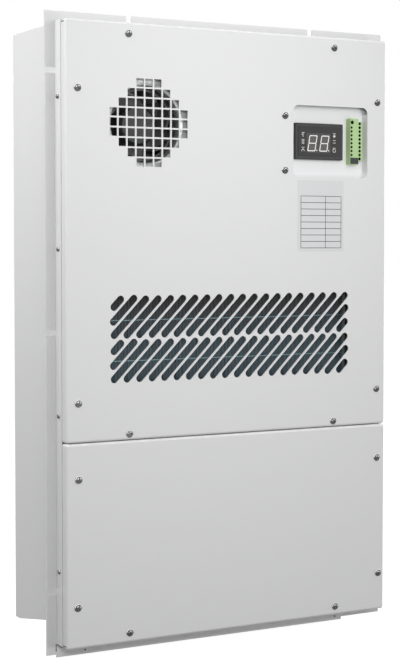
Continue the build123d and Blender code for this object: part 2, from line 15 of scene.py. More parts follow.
import bmesh
import bpy
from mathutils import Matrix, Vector


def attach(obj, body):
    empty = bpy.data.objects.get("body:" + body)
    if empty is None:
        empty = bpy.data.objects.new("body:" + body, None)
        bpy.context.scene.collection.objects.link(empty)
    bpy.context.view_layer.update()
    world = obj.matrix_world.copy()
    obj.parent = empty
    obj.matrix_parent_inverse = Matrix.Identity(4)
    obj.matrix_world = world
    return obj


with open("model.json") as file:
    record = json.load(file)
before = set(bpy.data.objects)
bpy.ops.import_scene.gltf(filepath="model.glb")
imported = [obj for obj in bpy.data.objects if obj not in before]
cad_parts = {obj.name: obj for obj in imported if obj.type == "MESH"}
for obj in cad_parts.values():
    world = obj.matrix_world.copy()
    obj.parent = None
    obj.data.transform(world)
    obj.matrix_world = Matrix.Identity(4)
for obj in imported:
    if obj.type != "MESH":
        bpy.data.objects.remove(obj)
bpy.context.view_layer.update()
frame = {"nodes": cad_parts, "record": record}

LOG = logging.getLogger("cabinet_air_conditioner")
MM = 0.001
MIDDLE_MM = 387.0
CABINET = "cabinet"

Colour = tuple[float, float, float]
Point = tuple[float, float, float]
Pair = tuple[float, float]
Quad = tuple[float, float, float, float]
Outline = Sequence[Vector]
Shape = bmesh.types.BMesh
Node = bpy.types.Node
Tree = bpy.types.NodeTree
Material = bpy.types.Material
Socket = bpy.types.NodeSocket
Feed = dict[str | int, object]
Shared = Callable[[str, Feed], object]

FLOAT, VECTOR, COLOUR = "NodeSocketFloat", "NodeSocketVector", "NodeSocketColor"
GEOMETRY, MATERIAL = "NodeSocketGeometry", "NodeSocketMaterial"
SOCKET_TYPES = {float: FLOAT, int: "NodeSocketInt", 3: VECTOR, 4: COLOUR}
GREY = (0.5, 0.5, 0.5, 1.0)
WHITE = (1.0, 1.0, 1.0, 1.0)
SPECKLE_SCALE = 120.0
BUMP_STRENGTH = 0.6
GRAINS_IN_RIPPLE = 6
FIN_STRETCH = (30.0, 1.0, 0.4)
# Foot, top, lower and upper radius of the rings of a screw's head, as shares of its size
HEAD_RINGS = (
    (0.0, 0.3, 1.0, 0.98), (0.29, 0.66, 0.98, 0.84),
    (0.65, 0.88, 0.84, 0.62), (0.87, 1.0, 0.62, 0.36),
)
HEAD_SIDES = 28
RECESS_REACH = 1.15


class Texture(Enum):
    """The surface textures that a finish can have."""

    PEEL = "peel"
    MOULDED = "moulded"
    SPANGLE = "spangle"
    BRUSHED = "brushed"
    FINNED = "finned"
    PRINTED = "printed"


class Facing(Enum):
    """The side of the object that a row of fasteners looks out of."""

    FRONT = (math.pi / 2, 0.0, 0.0)
    BACK = (-math.pi / 2, 0.0, 0.0)
    LEFT = (0.0, -math.pi / 2, 0.0)
    RIGHT = (0.0, math.pi / 2, 0.0)


@dataclass
class Nodes:
    """A node tree and short ways to fill it.

    Attributes:
        tree: Blender's tree.
        ins: The sockets that a group's inputs come from.
        exit: The node that a group's outputs go to.
    """

    tree: Tree
    ins: object = None
    exit: Node | None = None

    @classmethod
    def group(cls, name: str, inputs: Feed, outputs: dict[str, str],
              kind: str = "ShaderNodeTree") -> "Nodes":
        """Starts a node group with named sockets.

        Args:
            name: The group's name.
            inputs: Default of each input, or its socket type where it has no default.
            outputs: Socket type of each output.
            kind: Blender's type of the tree.

        Returns:
            The group, ready to be filled.
        """
        tree = bpy.data.node_groups.new(name, kind)
        for key, value in inputs.items():
            bare = isinstance(value, str)
            form = len(value) if isinstance(value, tuple) else type(value)
            made = tree.interface.new_socket(
                name=key, in_out="INPUT", socket_type=value if bare else SOCKET_TYPES[form]
            )
            if not bare:
                made.default_value = value
        for key, value in outputs.items():
            tree.interface.new_socket(name=key, in_out="OUTPUT", socket_type=value)
        entry = tree.nodes.new("NodeGroupInput")
        return cls(tree, entry.outputs, tree.nodes.new("NodeGroupOutput"))

    def join(self, start: Socket, end: Socket) -> None:
        """Links two sockets."""
        self.tree.links.new(start, end)

    def feed(self, node: Node, values: Feed) -> Node:
        """Links or sets the inputs of a node.

        Args:
            node: The node.
            values: A socket or a plain value for the name or number of each input.

        Returns:
            The same node.
        """
        for key, value in values.items():
            if isinstance(value, Socket):
                self.join(value, node.inputs[key])
            else:
                node.inputs[key].default_value = value
        return node

    def node(self, kind: str, values: Feed | None = None, **settings: object) -> Node:
        """Adds a node.

        Args:
            kind: The node's type name.
            values: What its inputs get.
            **settings: Values of the node's own properties.

        Returns:
            The new node.
        """
        made = self.tree.nodes.new(kind)
        for key, value in settings.items():
            setattr(made, key, value)
        return self.feed(made, values or {})

    def math(self, operation: str, first: object, second: object) -> Socket:
        """Adds a sum of two sockets or numbers and gives its result."""
        return self.node("ShaderNodeMath", {0: first, 1: second}, operation=operation).outputs[0]

    def vector(self, x: object, y: object, z: object) -> Socket:
        """Adds a vector of three sockets or numbers."""
        return self.node("ShaderNodeCombineXYZ", {0: x, 1: y, 2: z}).outputs[0]

    def noise(self, vector: Socket, scale: object, detail: float) -> Socket:
        """Adds a noise texture and gives its factor."""
        values = {"Vector": vector, "Scale": scale, "Detail": detail}
        return self.node("ShaderNodeTexNoise", values).outputs["Fac"]

    def swung(self, item: Socket, amount: Socket) -> Socket:
        """Turns a value from 0 to 1 into a factor that swings round 1."""
        swing = self.math("MULTIPLY", self.math("SUBTRACT", item, 0.5), amount)
        return self.math("ADD", swing, 1.0)

    def toned(self, colour: Socket, value: Socket) -> Socket:
        """Multiplies the tone of a colour."""
        values = {"Color": colour, "Value": value}
        return self.node("ShaderNodeHueSaturation", values).outputs["Color"]

    def mixed(self, share: Socket, first: Socket, second: Socket) -> Socket:
        """Mixes two colours."""
        values = {"Factor": share, 6: first, 7: second}
        return self.node("ShaderNodeMix", values, data_type="RGBA").outputs[2]

    def done(self, results: Feed) -> Tree:
        """Feeds the group's outputs and gives its tree."""
        self.feed(self.exit, results)
        return self.tree

    def painted(self, instances: Socket) -> Tree:
        """Realizes the instances, sets their material and ends a geometry tree."""
        real = self.node("GeometryNodeRealizeInstances", {"Geometry": instances}).outputs[0]
        values = {"Geometry": real, "Material": self.ins["Material"]}
        return self.done({"Geometry": self.node("GeometryNodeSetMaterial", values).outputs[0]})


# Shader node groups


def tone_drift() -> Tree:
    """A slow drift of tone over a surface, which also stirs the roughness."""
    group = Nodes.group(
        "tone_drift",
        {"Vector": VECTOR, "Colour": GREY, "Drift": 0.05, "Patch Scale": 4.0, "Roughness": 0.5},
        {"Colour": COLOUR, "Roughness": FLOAT},
    )
    ins = group.ins
    factor = group.swung(group.noise(ins["Vector"], ins["Patch Scale"], 3.0), ins["Drift"])
    rough = group.math("MULTIPLY", ins["Roughness"], factor)
    return group.done({"Colour": group.toned(ins["Colour"], factor), "Roughness": rough})


def paint_peel() -> Tree:
    """The fine grain and broad ripple of baked powder paint, as a height."""
    group = Nodes.group(
        "paint_peel",
        {"Vector": VECTOR, "Grain Scale": 900.0, "Ripple Scale": 160.0, "Ripple Share": 0.4},
        {"Height": FLOAT},
    )
    ins = group.ins
    grain = group.noise(ins["Vector"], ins["Grain Scale"], 2.0)
    ripple = group.noise(ins["Vector"], ins["Ripple Scale"], 1.0)
    ripple = group.math("MULTIPLY", ripple, ins["Ripple Share"])
    return group.done({"Height": group.math("ADD", grain, ripple)})


def zinc_spangle() -> Tree:
    """The crystal pattern of hot-dip zinc: a shade for each crystal."""
    group = Nodes.group(
        "zinc_spangle",
        {"Vector": VECTOR, "Crystal Scale": 90.0, "Contrast": 0.2, "Colour": GREY},
        {"Colour": COLOUR},
    )
    ins = group.ins
    values = {"Vector": ins["Vector"], "Scale": ins["Crystal Scale"]}
    crystals = group.node("ShaderNodeTexVoronoi", values).outputs["Color"]
    shade = group.node("ShaderNodeRGBToBW", {"Color": crystals}).outputs[0]
    factor = group.swung(shade, ins["Contrast"])
    return group.done({"Colour": group.toned(ins["Colour"], factor)})


def rolling_streaks() -> Tree:
    """Long fine streaks along one axis, as on rolled or brushed metal."""
    group = Nodes.group(
        "rolling_streaks",
        {"Vector": VECTOR, "Stretch": (1.0, 1.0, 30.0), "Streak Scale": 60.0}, {"Height": FLOAT},
    )
    ins = group.ins
    values = {0: ins["Vector"], 1: ins["Stretch"]}
    stretched = group.node("ShaderNodeVectorMath", values, operation="MULTIPLY").outputs[0]
    return group.done({"Height": group.noise(stretched, ins["Streak Scale"], 2.0)})


def upward_dust_and_sheen() -> Tree:
    """A paler colour on faces that look up: dust, and a painted highlight at high amounts."""
    group = Nodes.group(
        "upward_dust_and_sheen",
        {"Vector": VECTOR, "Colour": GREY, "Dust And Sheen Colour": GREY, "Amount": 0.2},
        {"Colour": COLOUR},
    )
    ins = group.ins
    normal = group.node("ShaderNodeNewGeometry").outputs["Normal"]
    height = group.node("ShaderNodeSeparateXYZ", {0: normal}).outputs["Z"]
    up = group.math("MAXIMUM", height, 0.0)
    speckled = group.math("MULTIPLY", up, group.noise(ins["Vector"], SPECKLE_SCALE, 4.0))
    share = group.math("MULTIPLY", speckled, ins["Amount"])
    return group.done({"Colour": group.mixed(share, ins["Colour"], ins["Dust And Sheen Colour"])})


def height_blend() -> Tree:
    """A colour that changes from a low to a high Z."""
    group = Nodes.group(
        "height_blend",
        {"Vector": VECTOR, "Low": 0.0, "High": 1.0, "Low Colour": GREY, "High Colour": GREY},
        {"Colour": COLOUR},
    )
    ins = group.ins
    height = group.node("ShaderNodeSeparateXYZ", {0: ins["Vector"]}).outputs["Z"]
    above = group.math("SUBTRACT", height, ins["Low"])
    span = group.math("SUBTRACT", ins["High"], ins["Low"])
    share = group.node("ShaderNodeClamp", {"Value": group.math("DIVIDE", above, span)}).outputs[0]
    return group.done({"Colour": group.mixed(share, ins["Low Colour"], ins["High Colour"])})


GROUPS: dict[str, Tree] = {
    tree.name: tree
    for tree in (
        tone_drift(), paint_peel(), zinc_spangle(), rolling_streaks(), upward_dust_and_sheen(),
        height_blend(),
    )
}


# Finishes


@dataclass(frozen=True)
class Finish:
    """One finish of the object.

    Attributes:
        name: The material's name.
        slot: The record's slot that it stands for.
        colour: Linear base colour.
        roughness: Mean roughness.
        texture: The surface's texture.
        metallic: 1 for bare metal.
        bump_mm: Height of the texture.
        drift: Share by which tone and roughness wander.
        patch_scale: Patches of drift in a metre.
        texture_scale: Scale of the texture's finest part, for a metre.
        dust_and_sheen: Share of a paler colour on faces that look up: dust, and at high shares a
            painted highlight.
        dust_and_sheen_colour: That paler colour.
        specular: Strength of the surface's plain reflection.
        low_colour: Colour at the foot of a surface that changes with height.
        span: Heights between which that colour changes.
    """

    name: str
    slot: str
    colour: Colour
    roughness: float
    texture: Texture = Texture.MOULDED
    metallic: float = 0.0
    bump_mm: float = 0.02
    drift: float = 0.04
    patch_scale: float = 5.0
    texture_scale: float = 900.0
    dust_and_sheen: float = 0.0
    dust_and_sheen_colour: Colour = (0.35, 0.34, 0.32)
    specular: float = 0.5
    low_colour: Colour | None = None
    span: Pair = (0.0, 1.0)

    def build(self) -> Material:
        """Builds the node material.

        Returns:
            The new material.
        """
        material = bpy.data.materials.new(self.name)
        material.use_nodes = True
        nodes = Nodes(material.node_tree)
        vector = nodes.node("ShaderNodeTexCoord").outputs["Object"]

        def shared(name: str, values: Feed) -> object:
            """Places a shared group on the object's coordinates and gives its outputs."""
            values = {"Vector": vector, **values}
            return nodes.node("ShaderNodeGroup", values, node_tree=GROUPS[name]).outputs

        tone = shared("tone_drift", {
            "Colour": self._base(shared), "Drift": self.drift,
            "Patch Scale": self.patch_scale, "Roughness": self.roughness,
        })
        colour = tone["Colour"]
        # Paler colour on faces that look up: dust, and on the covers and screws a painted
        # highlight.
        if self.dust_and_sheen:
            colour = shared("upward_dust_and_sheen", {
                "Colour": colour, "Amount": self.dust_and_sheen, "Dust And Sheen Colour": (*self.dust_and_sheen_colour, 1.0),
            })["Colour"]
        bump = nodes.node("ShaderNodeBump", {
            "Strength": BUMP_STRENGTH, "Distance": self.bump_mm * MM,
            "Height": self._height(shared),
        })
        nodes.feed(nodes.tree.nodes["Principled BSDF"], {
            "Metallic": self.metallic, "Specular IOR Level": self.specular, "Base Color": colour,
            "Roughness": tone["Roughness"], "Normal": bump.outputs["Normal"],
        })
        material.diffuse_color = (*self.colour, 1.0)
        return material

    def _base(self, shared: Shared) -> object:
        """Gives the colour before it drifts.

        Args:
            shared: Places a shared group in the material.

        Returns:
            A plain colour or a socket.
        """
        plain = (*self.colour, 1.0)
        if self.low_colour is not None:
            return shared("height_blend", {
                "Low": self.span[0], "High": self.span[1],
                "Low Colour": (*self.low_colour, 1.0), "High Colour": plain,
            })["Colour"]
        if self.texture is Texture.SPANGLE:
            values = {"Colour": plain, "Crystal Scale": self.texture_scale}
            return shared("zinc_spangle", values)["Colour"]
        return plain

    def _height(self, shared: Shared) -> Socket:
        """Adds the fine relief.

        Args:
            shared: Places a shared group in the material.

        Returns:
            The height's socket.
        """
        scale = self.texture_scale
        if self.texture in (Texture.BRUSHED, Texture.FINNED, Texture.SPANGLE):
            values: Feed = {"Streak Scale": scale}
            if self.texture is Texture.FINNED:
                values["Stretch"] = FIN_STRETCH
            return shared("rolling_streaks", values)["Height"]
        values = {"Grain Scale": scale, "Ripple Scale": scale / GRAINS_IN_RIPPLE}
        return shared("paint_peel", values)["Height"]


POWDER = Finish(
    "powder_coat_grey", "powder_coat", (0.685, 0.687, 0.688), 0.48, Texture.PEEL,
    bump_mm=0.03, drift=0.02, patch_scale=3.0, texture_scale=1100.0,
)
# The covers' coat with a paler colour on faces that look up: a painted highlight along their upper
# bends.
COVER_COAT_WITH_HIGHLIGHT = replace(POWDER, name="cover_coat_grey_painted_highlight", dust_and_sheen=2.2, dust_and_sheen_colour=(0.93, 0.93, 0.93))
INNER = Finish(
    "inner_coat_grey", "inner_coat", (0.74, 0.745, 0.75), 0.42, Texture.PEEL,
    bump_mm=0.015, drift=0.03, texture_scale=700.0,
)
ZINC = Finish(
    "galvanised_sheet", "zinc_sheet", (0.58, 0.59, 0.6), 0.42, Texture.SPANGLE,
    metallic=0.85, drift=0.12, patch_scale=18.0, texture_scale=140.0,
)
BLACK = Finish(
    "black_moulding", "black_plastic", (0.016, 0.016, 0.018), 0.55,
    bump_mm=0.03, drift=0.2, texture_scale=1400.0, dust_and_sheen=0.05,
)
MOTOR = Finish(
    "motor_paint", "motor_shell", (0.04, 0.04, 0.043), 0.5, Texture.BRUSHED,
    drift=0.2, texture_scale=90.0, dust_and_sheen=0.05,
)
WHEEL = Finish(
    "wheel_moulding", "black_plastic", (0.14, 0.14, 0.144), 0.55,
    bump_mm=0.03, drift=0.3, patch_scale=20.0, texture_scale=1400.0,
)
# The fins are teal below Z 0.375 m and dark above 0.43 m; the dark upper part is painted shade.
COIL = Finish(
    "coated_fin", "coil_fin", (0.062, 0.06, 0.06), 0.5, Texture.FINNED,
    metallic=0.3, bump_mm=0.1, drift=0.3, patch_scale=30.0, texture_scale=60.0,
    low_colour=(0.095, 0.138, 0.16), span=(0.375, 0.43),
)
COIL_LINE = Finish(
    "coil_seam", "coil_fin", (0.118, 0.2, 0.227), 0.45, Texture.BRUSHED,
    metallic=0.3, drift=0.3, patch_scale=40.0,
)
COPPER = Finish(
    "bare_copper", "copper", (0.72, 0.42, 0.28), 0.32, Texture.BRUSHED,
    metallic=1.0, drift=0.2, patch_scale=20.0,
)
GREEN = Finish(
    "terminal_green", "green_plastic", (0.39, 0.55, 0.265), 0.45,
    bump_mm=0.01, drift=0.06, patch_scale=60.0, texture_scale=1500.0,
)
GLASS = Finish(
    "smoked_window", "smoked_glass", (0.02, 0.0195, 0.0195), 0.25,
    bump_mm=0.002, drift=0.1, texture_scale=300.0,
)
BEZEL = Finish(
    "display_frame_moulding", "black_plastic", (0.022, 0.022, 0.023), 0.42,
    bump_mm=0.01, drift=0.1, texture_scale=1500.0,
)
# Dark screw heads with a near-white colour on faces that look up: a painted glint on the top of
# each head.
SCREW_WITH_GLINT = Finish(
    "dark_screw_painted_glint", "zinc_sheet", (0.05, 0.05, 0.05), 0.3, Texture.BRUSHED,
    drift=0.25, patch_scale=150.0, texture_scale=300.0,
    dust_and_sheen=25.0, dust_and_sheen_colour=(0.95, 0.95, 0.95),
)
# Near-black strip: dark seams where sheets meet, and painted shade behind the covers' gap.
DARK_SEAM = Finish(
    "dark_seam_strip", "black_plastic", (0.03, 0.03, 0.03), 0.9,
    bump_mm=0.05, drift=0.3, patch_scale=40.0, texture_scale=1800.0,
)
# Near-black discs without reflection that stand for the inside of holes: painted shade.
HOLE_SHADE = Finish(
    "painted_hole_shade", "black_plastic", (0.01, 0.01, 0.01), 0.8, drift=0.1, specular=0.0,
)
END_BLOCK = Finish(
    "terminal_end_moulding", "black_plastic", (0.017, 0.024, 0.022), 0.35,
    drift=0.7, patch_scale=260.0, texture_scale=1500.0,
)
PLATE = Finish(
    "bare_name_plate", "powder_coat", (0.62, 0.63, 0.635), 0.38, Texture.PRINTED,
    bump_mm=0.004, drift=0.02, texture_scale=500.0,
)
INK = Finish(
    "plate_ruling", "black_plastic", (0.035, 0.035, 0.037), 0.5, Texture.PRINTED,
    bump_mm=0.004, drift=0.2, patch_scale=90.0,
)
# Pale colour of the lit segments and signs: painted glow, with no light of its own.
DIGIT_GLOW = Finish(
    "display_segment_painted_glow", "smoked_glass", (0.9, 0.87, 0.87), 0.4, Texture.PRINTED,
    bump_mm=0.002, drift=0.1, patch_scale=90.0,
)
DIGIT_CORE = Finish(
    "display_segment_core", "smoked_glass", (0.075, 0.07, 0.07), 0.5, Texture.PRINTED,
    bump_mm=0.05, drift=0.6, patch_scale=900.0, texture_scale=2500.0,
)
PANEL = Finish(
    "display_panel_print", "smoked_glass", (0.048, 0.045, 0.045), 0.3, Texture.PRINTED,
    bump_mm=0.004, drift=0.15, patch_scale=60.0,
)


@dataclass
class Paint:
    """Keeps each finish's material, so that it is built once."""

    made: dict[str, Material] = field(default_factory=dict)

    def of(self, finish: Finish) -> Material:
        """Gives the material of a finish."""
        if finish.name not in self.made:
            self.made[finish.name] = finish.build()
        return self.made[finish.name]


# Mesh helpers


def local(x_mm: float, depth_mm: float, height_mm: float) -> Vector:
    """A point in metres.

    Args:
        x_mm: Distance to the right of the middle.
        depth_mm: The Y coordinate.
        height_mm: Height over the middle of the covers.

    Returns:
        The point.
    """
    return Vector((x_mm, depth_mm, height_mm + MIDDLE_MM)) * MM


def placed(name: str, data: bpy.types.ID) -> bpy.types.Object:
    """Makes an object of some data and links it to the scene."""
    made = bpy.data.objects.new(name, data)
    bpy.context.scene.collection.objects.link(made)
    return made


def piece(name: str, shape: Shape, material: Material) -> bpy.types.Object:
    """Turns a finished shape into an object at the origin.

    Args:
        name: The object's name.
        shape: The shape, which is freed.
        material: Its only material.

    Returns:
        The new object, linked to the scene.
    """
    bmesh.ops.recalc_face_normals(shape, faces=shape.faces)
    mesh = bpy.data.meshes.new(name)
    shape.to_mesh(mesh)
    shape.free()
    mesh.materials.append(material)
    return placed(name, mesh)


def prism(shape: Shape, outline: Outline, push: Vector) -> None:
    """Adds a closed prism to a shape.

    Args:
        shape: The shape that gets it.
        outline: Corners of one end, in order.
        push: From that end to the other.
    """
    first = [shape.verts.new(corner) for corner in outline]
    last = [shape.verts.new(corner + push) for corner in outline]
    shape.faces.new(first)
    shape.faces.new(last[::-1])
    for number, corner in enumerate(first):
        following = (number + 1) % len(first)
        shape.faces.new((corner, last[number], last[following], first[following]))


def slab(shape: Shape, outline: Outline, depth_mm: float) -> None:
    """Adds a closed slab that reaches back from the outline of its front."""
    prism(shape, outline, Vector((0.0, depth_mm * MM, 0.0)))


def framed(shape: Shape, outer: Outline, inner: Outline,
           depth_mm: float) -> None:
    """Adds a closed flat frame between two outlines with as many corners.

    Args:
        shape: The shape that gets it.
        outer: Outer corners of the front.
        inner: Inner corners of the front.
        depth_mm: How far it reaches back.
    """
    rings = [
        [shape.verts.new(corner + shift) for corner in outline]
        for shift in (Vector(), Vector((0.0, depth_mm * MM, 0.0)))
        for outline in (outer, inner)
    ]
    for start, end in ((0, 1), (1, 3), (3, 2), (2, 0)):
        for number in range(len(outer)):
            following = (number + 1) % len(outer)
            shape.faces.new((rings[start][number], rings[start][following],
                             rings[end][following], rings[end][number]))


def rectangle(left: float, right: float, low: float, high: float, y: float) -> list[Vector]:
    """Corners of an upright rectangle, in millimetres."""
    return [local(x, y, z) for x, z in ((left, low), (right, low), (right, high), (left, high))]


def circle(x: float, y: float, z: float, radius: float, steps: int) -> list[Vector]:
    """Corners of an upright circle, in millimetres."""
    turns = (math.tau * step / steps for step in range(steps))
    return [local(x + radius * math.cos(turn), y, z + radius * math.sin(turn)) for turn in turns]


def rounded(left: float, right: float, low: float, high: float, y: float,
            radius: float, steps: int = 5) -> list[Vector]:
    """Corners of an upright rectangle with round corners, in millimetres.

    Args:
        left: Left edge.
        right: Right edge.
        low: Lower edge.
        high: Upper edge.
        y: Y coordinate.
        radius: Radius of the corners.
        steps: Segments of each corner.

    Returns:
        The corners in order, from the lower right one.
    """
    corners = (
        (right - radius, low + radius, -90), (right - radius, high - radius, 0),
        (left + radius, high - radius, 90), (left + radius, low + radius, 180),
    )
    points = []
    for x, z, start in corners:
        for step in range(steps + 1):
            angle = math.radians(start + 90 * step / steps)
            points.append(local(x + radius * math.cos(angle), y, z + radius * math.sin(angle)))
    return points


# Geometry node trees


def screw_tree() -> Tree:
    """Pan heads with a cross recess, one at each point of the input."""
    tree = Nodes.group(
        "pan_head_screws",
        {
            "Geometry": GEOMETRY, "Head Radius": 0.004, "Head Height": 0.0022,
            "Recess Width": 0.001, "Facing": (0.0, 0.0, 0.0), "Seed": 7, "Material": MATERIAL,
        },
        {"Geometry": GEOMETRY}, "GeometryNodeTree",
    )
    ins = tree.ins
    radius, height = ins["Head Radius"], ins["Head Height"]

    def raised(mesh: Socket, lift: Socket) -> Socket:
        """Lifts a mesh off the head's foot."""
        values = {"Geometry": mesh, "Translation": tree.vector(0.0, 0.0, lift)}
        return tree.node("GeometryNodeTransform", values).outputs["Geometry"]

    union = tree.node("GeometryNodeMeshBoolean", operation="UNION")
    for foot, top, low, high in HEAD_RINGS:
        ring = tree.node("GeometryNodeMeshCone", {
            "Vertices": HEAD_SIDES, "Radius Bottom": tree.math("MULTIPLY", radius, low),
            "Radius Top": tree.math("MULTIPLY", radius, high),
            "Depth": tree.math("MULTIPLY", height, top - foot),
        })
        lift = tree.math("MULTIPLY", height, foot)
        tree.join(raised(ring.outputs["Mesh"], lift), union.inputs["Mesh 2"])
    cut = tree.node(
        "GeometryNodeMeshBoolean", {"Mesh 1": union.outputs["Mesh"]}, operation="DIFFERENCE"
    )
    arm = tree.math("MULTIPLY", radius, RECESS_REACH)
    for across in ((arm, ins["Recess Width"]), (ins["Recess Width"], arm)):
        bar = tree.node("GeometryNodeMeshCube", {"Size": tree.vector(*across, height)})
        tree.join(raised(bar.outputs["Mesh"], height), cut.inputs["Mesh 2"])
    turn = tree.node(
        "FunctionNodeRandomValue", {3: math.tau, "Seed": ins["Seed"]}, data_type="FLOAT"
    )
    places = tree.node("GeometryNodeInstanceOnPoints", {
        "Points": ins["Geometry"], "Instance": cut.outputs["Mesh"], "Rotation": ins["Facing"],
    })
    spin = tree.node("GeometryNodeRotateInstances", {
        "Instances": places.outputs["Instances"], "Local Space": True,
        "Rotation": tree.vector(0.0, 0.0, turn.outputs[1]),
    })
    return tree.painted(spin.outputs["Instances"])


def fin_tree() -> Tree:
    """A row of thin upright fins, evenly spaced from the first point of the input."""
    tree = Nodes.group(
        "coil_fin_row",
        {
            "Geometry": GEOMETRY, "Count": 100, "Pitch": 0.002, "Fin Thickness": 0.0002,
            "Fin Depth": 0.002, "Fin Height": 0.1, "Bend Amount": 0.0002, "Seed": 3,
            "Material": MATERIAL,
        },
        {"Geometry": GEOMETRY}, "GeometryNodeTree",
    )
    ins = tree.ins
    line = tree.node("GeometryNodeMeshLine", {
        "Count": ins["Count"], "Offset": tree.vector(ins["Pitch"], 0.0, 0.0),
    })
    place = tree.node("GeometryNodeInputPosition").outputs[0]
    start = tree.node(
        "GeometryNodeSampleIndex", {"Geometry": ins["Geometry"], "Value": place},
        data_type="FLOAT_VECTOR",
    )
    moved = tree.node("GeometryNodeTransform", {
        "Geometry": line.outputs["Mesh"], "Translation": start.outputs["Value"],
    })
    size = tree.vector(ins["Fin Thickness"], ins["Fin Depth"], ins["Fin Height"])
    fin = tree.node("GeometryNodeMeshCube", {"Size": size})
    bend = tree.vector(ins["Bend Amount"], ins["Bend Amount"], 0.0)
    lean = tree.node(
        "FunctionNodeRandomValue", {1: bend, "Seed": ins["Seed"]}, data_type="FLOAT_VECTOR"
    )
    shaken = tree.node("GeometryNodeSetPosition", {
        "Geometry": moved.outputs["Geometry"], "Offset": lean.outputs[0],
    })
    places = tree.node("GeometryNodeInstanceOnPoints", {
        "Points": shaken.outputs["Geometry"], "Instance": fin.outputs["Mesh"],
    })
    return tree.painted(places.outputs["Instances"])


# Sub-assemblies


@dataclass
class Assembly:
    """Pieces that ride on the cabinet.

    Attributes:
        paint: The finished materials.
    """

    paint: Paint

    def add(self, name: str, shape: Shape, finish: Finish, soft_mm: float = 0.0) -> None:
        """Makes a piece of a shape.

        Args:
            name: The piece's name.
            shape: Its shape, which is freed.
            finish: Its finish.
            soft_mm: Width of the bevel along its edges, which stays live.
        """
        made = piece(name, shape, self.paint.of(finish))
        if soft_mm:
            bevel = made.modifiers.new("soft_edges", "BEVEL")
            bevel.width = soft_mm * MM
            bevel.segments = 2
            bevel.limit_method = "ANGLE"
            bevel.harden_normals = True
        self.ride(made, finish)

    def grow(self, name: str, points: Sequence[Vector], tree: Tree,
             finish: Finish, values: Feed) -> None:
        """Runs a geometry node tree on a few points and keeps its mesh as a plain piece.

        Args:
            name: The piece's name.
            points: The tree's input points.
            tree: The tree.
            finish: The piece's finish.
            values: The tree's other inputs by name.
        """
        values = {**values, "Material": self.paint.of(finish)}
        seeds = bpy.data.meshes.new(f"{name}_points")
        seeds.from_pydata([tuple(point) for point in points], [], [])
        carrier = placed(f"{name}_carrier", seeds)
        modifier = carrier.modifiers.new("grow", "NODES")
        modifier.node_group = tree
        for item in tree.interface.items_tree:
            if item.item_type == "SOCKET" and item.in_out == "INPUT" and item.name in values:
                modifier[item.identifier] = values[item.name]
        bpy.context.view_layer.update()
        evaluated = carrier.evaluated_get(bpy.context.evaluated_depsgraph_get())
        mesh = bpy.data.meshes.new_from_object(evaluated)
        carrier.modifiers.remove(modifier)
        bpy.data.objects.remove(carrier)
        mesh.name = name
        self.ride(placed(name, mesh), finish)

    @staticmethod
    def ride(made: bpy.types.Object, finish: Finish) -> None:
        """Rides a piece on the cabinet and logs its faces."""
        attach(made, CABINET)
        LOG.info("%s: %d faces, rides on %s", made.name, len(made.data.polygons), CABINET)


@dataclass
class SheetMetal(Assembly):
    """The finishes of all that the solids already shape, by slot and for single nodes."""

    finishes: dict[str, Finish] = field(default_factory=lambda: {
        finish.slot: finish
        for finish in (POWDER, INNER, ZINC, BLACK, MOTOR, COIL, COPPER, GREEN, GLASS)
    })
    special: dict[str, Finish] = field(default_factory=lambda: {
        "display_bezel": BEZEL, "impeller_wheel": WHEEL, "impeller_hub": BEZEL,
        "upper_cover": COVER_COAT_WITH_HIGHLIGHT, "lower_cover": COVER_COAT_WITH_HIGHLIGHT,
    })

    def build(self) -> None:
        """Gives every solid its own finish or that of its slot."""
        slots = {entry["node"]: entry["material_slot"] for entry in frame["record"]["subparts"]}
        for name, node in frame["nodes"].items():
            finish = self.special.get(name, self.finishes[slots[name]])
            node.data.materials.clear()
            node.data.materials.append(self.paint.of(finish))
        LOG.info("%d solids painted", len(frame["nodes"]))


@dataclass
class Fasteners(Assembly):
    """Pan-head screws of the covers, the window and the housing."""

    cover_y: float = -32.5
    rear_y: float = 145.0
    wall_x: float = 230.0
    wall_y: float = -11.0
    head_radius: float = 4.8
    head_height: float = 2.4
    small_radius: float = 3.2
    recess_share: float = 0.28
    front: tuple[Pair, ...] = (
        (-146.8, 361.5), (148.6, 361.5), (-214.2, 294.2), (216.3, 294.2),
        (-214.2, -80.4), (216.6, -81.2), (-146.3, -120.2), (148.6, -120.3),
        (-214.2, -171.6), (-215.6, -325.5), (-146.5, -363.1),
        (217.8, -172.4), (220.8, -326.3), (152.7, -363.7), (74.5, 272.2), (74.5, 203.0),
    )
    rear_side_x: float = 208.0
    rear_side: tuple[float, ...] = (350.0, 175.0, 0.0, -175.0, -348.0)
    rear_end_x: float = 105.0
    rear_ends: Pair = (366.0, -362.0)
    wall_rows: tuple[float, ...] = (284.8, 103.3, -96.4, -283.9)

    def build(self) -> None:
        """Makes every row of screws."""
        tree = screw_tree()
        back = [(side * x, z) for x, heights in (
            (self.rear_side_x, self.rear_side), (self.rear_end_x, self.rear_ends)
        ) for side in (-1, 1) for z in heights]
        rows = (
            ("cover_screws", Facing.FRONT, self.head_radius,
             [local(x, self.cover_y, z) for x, z in self.front]),
            ("back_cover_screws", Facing.BACK, self.head_radius,
             [local(x, self.rear_y, z) for x, z in back]),
            ("left_wall_screws", Facing.LEFT, self.small_radius,
             [local(-self.wall_x, self.wall_y, z) for z in self.wall_rows]),
            ("right_wall_screws", Facing.RIGHT, self.small_radius,
             [local(self.wall_x, self.wall_y, z) for z in self.wall_rows]),
        )
        for name, facing, radius, points in rows:
            self.grow(name, points, tree, SCREW_WITH_GLINT, {
                "Head Radius": radius * MM, "Head Height": self.head_height * MM,
                "Recess Width": self.recess_share * radius * MM, "Facing": facing.value,
                "Seed": len(name),
            })


